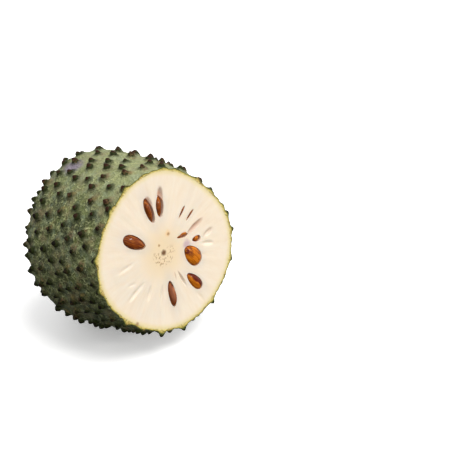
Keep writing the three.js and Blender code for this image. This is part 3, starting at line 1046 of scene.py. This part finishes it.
def add_egg(name, length, width, thickness, sides=40, rings=28):
    """A tapered egg with its broad end towards +Y."""
    deselect()
    bpy.ops.mesh.primitive_uv_sphere_add(segments=sides, ring_count=rings, radius=1)
    egg = named(name)
    across, up, along = points_of(egg).T
    points = np.stack([across * (1 + SEED_TAPER * along), along, -up], -1)
    move_points(egg, points * [width / 2, length / 2, thickness / 2])
    return egg


def seed_place(seed):
    """Where a seed lies in the fruit."""
    return on_face(seed["x"], seed["z"], seed["turn"], seed["depth"], seed["roll"], seed["dip"])


def swept_out(egg):
    """Draws an egg straight out through the cut face."""
    with editing(egg):
        bpy.ops.mesh.duplicate_move(TRANSFORM_OT_translate={"value": (0, -BED_REACH, 0)})
        bpy.ops.mesh.select_all(action="SELECT")
        bpy.ops.mesh.convex_hull()
    return egg


def seed_cutters(seed):
    """The shapes that hollow out a seed's bed, and the slot over it where it is buried."""
    sizes = [seed[side] + 2 * SEED_ROOM for side in ("length", "width", "thickness")]
    bed = add_egg("bed", *sizes)
    bed.data.transform(seed_place(seed))
    if "slot" not in seed:
        return [swept_out(bed)]
    slot = add_egg("slot", *seed["slot"], SLOT_THICKNESS)
    slot_x = seed.get("slot_x", seed["x"])
    slot.data.transform(on_face(slot_x, seed["z"], seed["turn"], seed["depth"]))
    return [bed, swept_out(slot)]


def carve(piece, cutter):
    """Takes a cutter's shape out of a piece, and clears the cutter away."""
    take(piece)
    cut = piece.modifiers.new("carve", "BOOLEAN")
    cut.operation = "DIFFERENCE"
    cut.solver = "MANIFOLD"
    cut.object = cutter
    bpy.ops.object.modifier_apply(modifier=cut.name)
    bpy.data.objects.remove(cutter)


def in_oval(x, z, mark):
    """How far out a place on the face is in an oval mark: 0 at its middle, 1 at its edge."""
    turn = math.radians(mark["turn"])
    along = (x - mark["x"]) * math.cos(turn) + (z - mark["z"]) * math.sin(turn)
    across = (z - mark["z"]) * math.cos(turn) - (x - mark["x"]) * math.sin(turn)
    return np.hypot(along / (mark["length"] / 2), across / (mark["width"] / 2))


def seen_oval(seed):
    """The oval that a seed shows in the cut face."""
    length, width = seed.get("slot", (seed["length"], seed["width"]))
    if "slot" not in seed:
        edge_on = abs(math.sin(math.radians(seed["roll"])))
        width = seed["thickness"] * edge_on + seed["width"] * (1 - edge_on)
    return {**seed, "x": seed.get("slot_x", seed["x"]), "length": length, "width": width}


def face_relief(points, settings):
    """How deep the cut face lies below the knife's plane: slits, and the pulp's radial unevenness."""
    x, z = points[:, 0], points[:, 2]
    depth = np.full(len(points), FACE_SINK)
    for slit in SLITS:
        depth += slit["depth"] * np.clip(1 - in_oval(x, z, slit) ** 2, 0, 1) ** 1.5
    radius = np.hypot(x - CORE_X, z - CORE_Z)
    around = np.stack([x - CORE_X, z - CORE_Z], -1) / (radius[:, None] + 0.01)
    radial = np.concatenate([around * 8, radius[:, None] * 0.05], 1)
    fibres = np.clip(0.5 + ripple(radial, 1.0, 4.0), 0, 1)
    swell = np.clip(0.5 + ripple(points, 6.0, 2.0), 0, 1)
    inner = np.clip((radius - FIBRES_FROM) / 12, 0, 1) * np.clip((FIBRES_TO - radius) / 8, 0, 1)
    return depth + mm(settings.pulp) * (0.7 * fibres + 0.5 * swell) * inner


def make_flesh(settings):
    """The flesh: a sheet rolled over the face and the wall, with slits pressed in and beds cut out."""
    rings = settings.rings + settings.back_rings
    flesh, angle, share = add_lathe("flesh_pulp", settings.sides, rings)
    ring = np.round(share * rings)
    front = ring <= settings.rings
    face = wall_points(0.0, angle, RIND) * (ring / settings.rings)[:, None]
    behind = np.clip(ring / settings.rings - 1, 0, None) * settings.rings / settings.back_rings
    inset = RIND + FLESH_GAP
    back = wall_points((LENGTH - inset) * np.sin(behind * math.pi / 2), angle, inset)
    points = np.where(front[:, None], face, back)
    points[front, 1] += face_relief(points[front], settings)
    move_points(flesh, points)
    merge_doubles(flesh)
    for seed in SEEDS:
        for cutter in seed_cutters(seed):
            carve(flesh, cutter)
    note_flesh(flesh)
    return flesh


def note_flesh(flesh):
    """Notes where the flesh is wet and painted shaded about a seed, where it is stained, where it gets a
    painted glow, and how deep it lies under the skin.
    """
    x, y, z = points_of(flesh).T
    halo, stain = np.zeros((2, len(x)))
    for slit in SLITS:
        stain = np.maximum(stain, slit["stain"] * np.clip(1.15 - in_oval(x, z, slit), 0, 1) ** 0.5)
    glow = stain * (y > PAINTED_GLOW_IN_SLIT)
    for seed in SEEDS:
        oval = seen_oval(seed)
        out = in_oval(x, z, oval)
        away = np.clip(out - 1, 0, None) * oval["width"] / 2
        halo = np.maximum(halo, (0.5 if "slot" in seed else 1.0) * np.exp(-((away / HALO_REACH) ** 2)))
        # A bed's walls get brown stain and a painted glow, which warm and lift the shade between seed and
        # flesh.
        bed = (0.7 if "slot" in seed else 0.5) * np.clip(1.5 - out, 0, 1) ** 0.5 * (y > PAINTED_GLOW_IN_BED)
        stain = np.maximum(stain, bed)
        glow = np.maximum(glow, bed)
    wall = round_radius(0.0) * section_shape(np.arctan2(z, x), 0.0)
    skin_depth = np.where(y < 8, wall - np.hypot(x, z), 60)
    for look, values in (("halo", halo), ("stain", stain), ("glow", glow), ("skin_depth", skin_depth)):
        note(flesh, look, values)


def make_seed(seed, name):
    """A seed: a flattened egg with a pinched tip, a raised margin and slightly uneven sides."""
    egg = add_egg(name, seed["length"], seed["width"], seed["thickness"], 48, 36)
    points = points_of(egg)
    halves = np.array([seed["width"], seed["length"], seed["thickness"]]) / 2
    across, along, up = (points / halves).T
    pinch = 1 - 0.6 * np.clip(-along - 0.3, 0, 1) ** 1.4 - 0.3 * np.clip(along - 0.5, 0, 1) ** 1.3
    margin = 1 + 0.035 * np.exp(-((up / 0.16) ** 2))
    flat = 1 - 0.1 * np.exp(-((np.hypot(across, along) / 0.5) ** 2))
    points = points * np.stack([pinch * margin, margin, flat], -1)
    points += 0.12 * wobble(points, 4.0, seed["x"])
    move_points(egg, points)
    for look, values in (("along", along), ("across", across)):
        note(egg, look, values)
    for look in ("tone", "dusty", "dark_side"):
        note(egg, look, seed[look])
    egg.data.transform(seed_place(seed))
    x, _, z = points_of(egg).T
    note(egg, "edge", np.clip(in_oval(x, z, seen_oval(seed)), 0, 1))
    return egg


def make_stalk():
    """The stalk's stub: a ridged cylinder with a cut end, a little wider where it leaves the fruit."""
    deselect()
    length = STALK_ROOT + STALK_OUT
    bpy.ops.mesh.primitive_cylinder_add(vertices=STALK_SIDES, radius=STALK_RADIUS, depth=length)
    stalk = named("stalk_bark")
    pick(stalk, "FACE", [abs(face.normal.z) > 0.5 for face in stalk.data.polygons])
    for _ in range(3):
        bpy.ops.mesh.inset(thickness=0.26 * STALK_RADIUS, depth=0)
    for band in range(1, STALK_BANDS):
        bpy.ops.mesh.select_all(action="SELECT")
        level = length * (band / STALK_BANDS - 0.5)
        bpy.ops.mesh.bisect(plane_co=(0, 0, level), plane_no=(0, 0, 1))
    bpy.ops.object.mode_set(mode="OBJECT")
    points = points_of(stalk)
    x, y, z = points.T
    share = z / length + 0.5
    wide = np.hypot(x, y) > 0.98 * STALK_RADIUS
    ridges = 1 + wide * (0.05 * np.sin(7 * np.arctan2(y, x)) + 0.06 * ripple(points, 1.6))
    points[:, :2] *= (ridges * (1 - 0.12 * share))[:, None]
    points[:, 2] += 0.25 * ripple(points, 1.4, 5.0) * (share > 0.98)
    note(stalk, "cut_end", (share > 0.98) & ~wide)
    middle = LENGTH + (STALK_OUT - STALK_ROOT) / 2
    move_points(stalk, np.stack([points[:, 0], points[:, 2] + middle, -points[:, 1]], -1))
    return stalk


# --- Stage ------------------------------------------------------------------------------------------------


def make_floor(settings):
    """A broad pale floor, which is left out of bounced light so that the fruit's shadow stays light."""
    deselect()
    bpy.ops.mesh.primitive_plane_add(size=6)
    floor = named("floor")
    f = Finish("studio_floor")
    shade = f.mix(f.noise(900, 2), settings.floor, [0.985 * value for value in settings.floor])
    floor.data.materials.append(f.close(shade, 0.7, Emission_Color=(1, 1, 1, 1), Emission_Strength=0.3))
    floor.visible_diffuse = floor.visible_glossy = False
    floor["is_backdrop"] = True


def add_light(kind, name, offset, strength, colour):
    """Adds a light, placed from the cut face's middle and aimed at the fruit."""
    bpy.ops.object.light_add(type=kind, location=FACE_IN_METRES + Vector(offset))
    light = bpy.context.object
    light.name = name
    light.data.energy = strength
    light.data.color = colour
    aim = Vector((0, 0, FACE_IN_METRES.z)) - light.location
    light.rotation_euler = aim.to_track_quat("-Z", "Y").to_euler()
    return light.data


def make_lights(settings):
    """A broad overhead light, a small front one, and a sky that is soft above and faint below."""
    key = add_light("SUN", "key", (0.1, -0.35, 0.93), settings.key, (1.0, 0.99, 0.97))
    key.angle = math.radians(40)
    fill = add_light("AREA", "fill", (0.62, -0.95, 0.3), settings.fill, (1.0, 0.98, 0.95))
    fill.size = 0.15
    sky = Finish("studio_sky", bpy.data.worlds, "Generated")
    above = sky.ramp(sky.split(sky.place)[2], -0.35, -0.08, settings.ground, settings.sky)
    light = sky.node("ShaderNodeBackground", {}, {"Color": (1, 1, 1, 1), "Strength": above})
    sky.node("ShaderNodeOutputWorld", {}, {"Surface": light})
    bpy.context.scene.world = sky.made
    bpy.context.scene.view_settings.view_transform = "Standard"


def make_camera(settings):
    """Looks down on the cut face and the left side."""
    bpy.ops.object.camera_add(location=FACE_IN_METRES + CAMERA_FROM_FACE * MM)
    camera = bpy.context.object
    camera.rotation_euler = (math.pi / 2 - settings.elevation, 0, settings.azimuth)
    camera.data.lens = settings.lens
    camera.data.sensor_width = 36
    camera.data.clip_start = 0.01
    bpy.context.scene.camera = camera


# --- Operators --------------------------------------------------------------------------------------------


class SOURSOP_OT_rind(bpy.types.Operator):
    """Raise the skin of the rind round its spines"""

    bl_idname = "soursop.rind"
    bl_label = "Rind"

    def execute(self, context):
        settings = context.scene.soursop_rind
        skin = make_rind(settings, spine_sites())
        finish_piece(skin, skin_finish(settings), ["rind"])
        return {"FINISHED"}


class SOURSOP_OT_spines(bpy.types.Operator):
    """Set a spine on every hump of the skin"""

    bl_idname = "soursop.spines"
    bl_label = "Spines"

    def execute(self, context):
        scene = context.scene
        spines = make_spines(scene.soursop_spines, scene.soursop_rind, spine_sites())
        finish_piece(spines, spine_finish(scene.soursop_rind), ["rind"])
        return {"FINISHED"}


class SOURSOP_OT_flesh(bpy.types.Operator):
    """Shape the white flesh with its slits and the beds of its seeds"""

    bl_idname = "soursop.flesh"
    bl_label = "Flesh"

    def execute(self, context):
        settings = context.scene.soursop_flesh
        finish_piece(make_flesh(settings), flesh_finish(settings), ["flesh"], 35.0)
        return {"FINISHED"}


class SOURSOP_OT_seeds(bpy.types.Operator):
    """Lay the seeds in their beds"""

    bl_idname = "soursop.seeds"
    bl_label = "Seeds"

    def execute(self, context):
        material = seed_finish(context.scene.soursop_flesh)
        for number, seed in enumerate(SEEDS, 1):
            coat = make_seed(seed, f"seed_coat_{number}")
            finish_piece(coat, material, [f"seed_{number}"])
        return {"FINISHED"}


class SOURSOP_OT_stalk(bpy.types.Operator):
    """Set the stub of the stalk in the far end"""

    bl_idname = "soursop.stalk"
    bl_label = "Stalk stub"

    def execute(self, context):
        settings = context.scene.soursop_rind
        finish_piece(make_stalk(), stalk_finish(settings), ["stalk_stub"], 40.0)
        return {"FINISHED"}


class SOURSOP_OT_stage(bpy.types.Operator):
    """Set the floor, the lights and the camera"""

    bl_idname = "soursop.stage"
    bl_label = "Stage"

    def execute(self, context):
        settings = context.scene.soursop_stage
        make_floor(settings)
        make_lights(settings)
        make_camera(settings)
        return {"FINISHED"}


class SOURSOP_PT_panel(bpy.types.Panel):
    """Lists the pieces and their sizes"""

    bl_idname = "SOURSOP_PT_panel"
    bl_label = "Soursop half"
    bl_space_type = "VIEW_3D"
    bl_region_type = "UI"
    bl_category = "Soursop"

    def draw(self, context):
        for step in OPERATORS:
            self.layout.operator(step.bl_idname)
        for name in SETTINGS:
            group = getattr(context.scene, name)
            box = self.layout.box()
            for key in group.bl_rna.properties.keys():
                if key not in ("rna_type", "name"):
                    box.prop(group, key)


SETTINGS = {
    "soursop_rind": SoursopRindSettings,
    "soursop_spines": SoursopSpineSettings,
    "soursop_flesh": SoursopFleshSettings,
    "soursop_stage": SoursopStageSettings,
}
OPERATORS = (
    SOURSOP_OT_rind,
    SOURSOP_OT_spines,
    SOURSOP_OT_flesh,
    SOURSOP_OT_seeds,
    SOURSOP_OT_stalk,
    SOURSOP_OT_stage,
)
CLASSES = (*SETTINGS.values(), *OPERATORS, SOURSOP_PT_panel)


def register():
    for cls in CLASSES:
        bpy.utils.register_class(cls)
    for name, group in SETTINGS.items():
        setattr(bpy.types.Scene, name, PointerProperty(type=group))


def unregister():
    for name in SETTINGS:
        delattr(bpy.types.Scene, name)
    for cls in reversed(CLASSES):
        bpy.utils.unregister_class(cls)


def main():
    register()
    bpy.ops.soursop.rind()
    bpy.ops.soursop.spines()
    bpy.ops.soursop.flesh()
    bpy.ops.soursop.seeds()
    bpy.ops.soursop.stalk()
    bpy.ops.soursop.stage()
    boxes = {"cad": CAD_BOX, "visual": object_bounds()}
    {name: [list(corner) for corner in box] for name, box in boxes.items()}


if __name__ == "__main__":
    main()
